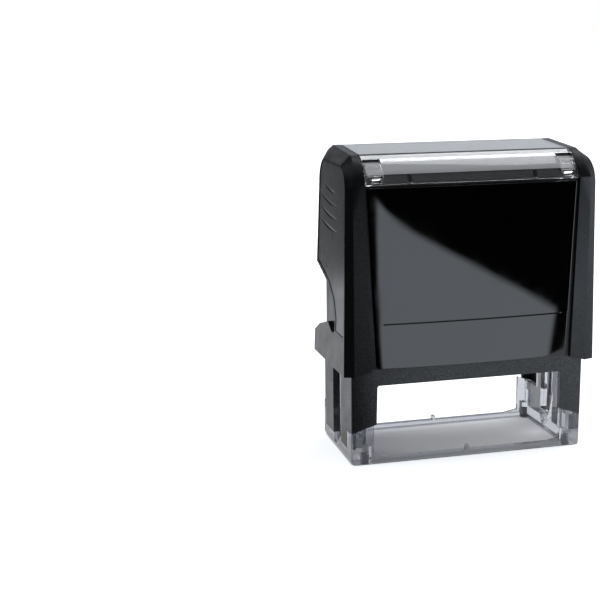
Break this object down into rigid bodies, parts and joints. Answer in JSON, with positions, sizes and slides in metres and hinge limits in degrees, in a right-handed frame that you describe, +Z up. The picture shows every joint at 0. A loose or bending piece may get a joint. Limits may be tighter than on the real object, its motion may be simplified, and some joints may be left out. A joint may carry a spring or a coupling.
{
  "type": "self inking stamp",
  "caption": "Self inking stamp: a sprung cap slides over a legged frame on a clear base, and a cam turns the rubber die from the ink pad down to the paper.",
  "frame": {"origin": "centre of the rest plane, under the middle of the clear base", "axes": "+X to the right along the long side, +Y to the back where the ink cartridge comes out, +Z up against the press"},
  "size_m": [0.088, 0.0447, 0.1038],
  "materials": {
    "clear_plastic": "clear polycarbonate, polished",
    "foot_rubber": "soft matt rubber",
    "black_plastic": "fine matt texture",
    "gloss_black_plastic": "high gloss",
    "grip_plastic": "soft satin texture",
    "grey_plastic": "plain moulded",
    "card": "smooth white card",
    "foam": "fine closed cell foam",
    "die_rubber": "moulded laser rubber",
    "tray_plastic": "plain moulded",
    "felt": "felt soaked with black ink",
    "spring_steel": "drawn spring wire"
  },
  "bodies": {
    "base": {"clear_base": "clear_plastic", "front_left_foot": "foot_rubber", "front_right_foot": "foot_rubber", "back_left_foot": "foot_rubber", "back_right_foot": "foot_rubber", "lower_frame": "black_plastic", "left_spring": "spring_steel", "right_spring": "spring_steel"},
    "cap": {"cap_shell": "black_plastic", "front_panel": "gloss_black_plastic", "left_grip_panel": "grip_plastic", "right_grip_panel": "grip_plastic", "actuator_bow": "grey_plastic"},
    "window": {"index_window": "clear_plastic", "index_card": "card"},
    "die": {"die_holder": "grey_plastic", "die_cushion": "foam", "rubber_die": "die_rubber"},
    "cartridge": {"cartridge_tray": "tray_plastic", "ink_pad": "felt"}
  },
  "joints": [
    {"name": "press_slide", "type": "slide", "parent": "base", "child": "cap", "axis": [0, 0, -1], "range_m": [0, 0.028], "stiffness_N_per_m": 500, "springref_m": -0.01, "deforming": ["left_spring", "right_spring"]},
    {"name": "die_flip", "type": "hinge", "parent": "cap", "child": "die", "pos_m": [0, 0, 0.0365], "axis": [1, 0, 0], "range_deg": [0, 180]},
    {"name": "cartridge_slide", "type": "slide", "parent": "base", "child": "cartridge", "axis": [0, 1, 0], "range_m": [0, 0.038]},
    {"name": "window_lift", "type": "slide", "parent": "cap", "child": "window", "axis": [0, 0, 1], "range_m": [0, 0.02]}
  ],
  "couplings": [
    {"joint": "die_flip", "follows": "press_slide", "rad_per_m": 112.19}
  ]
}
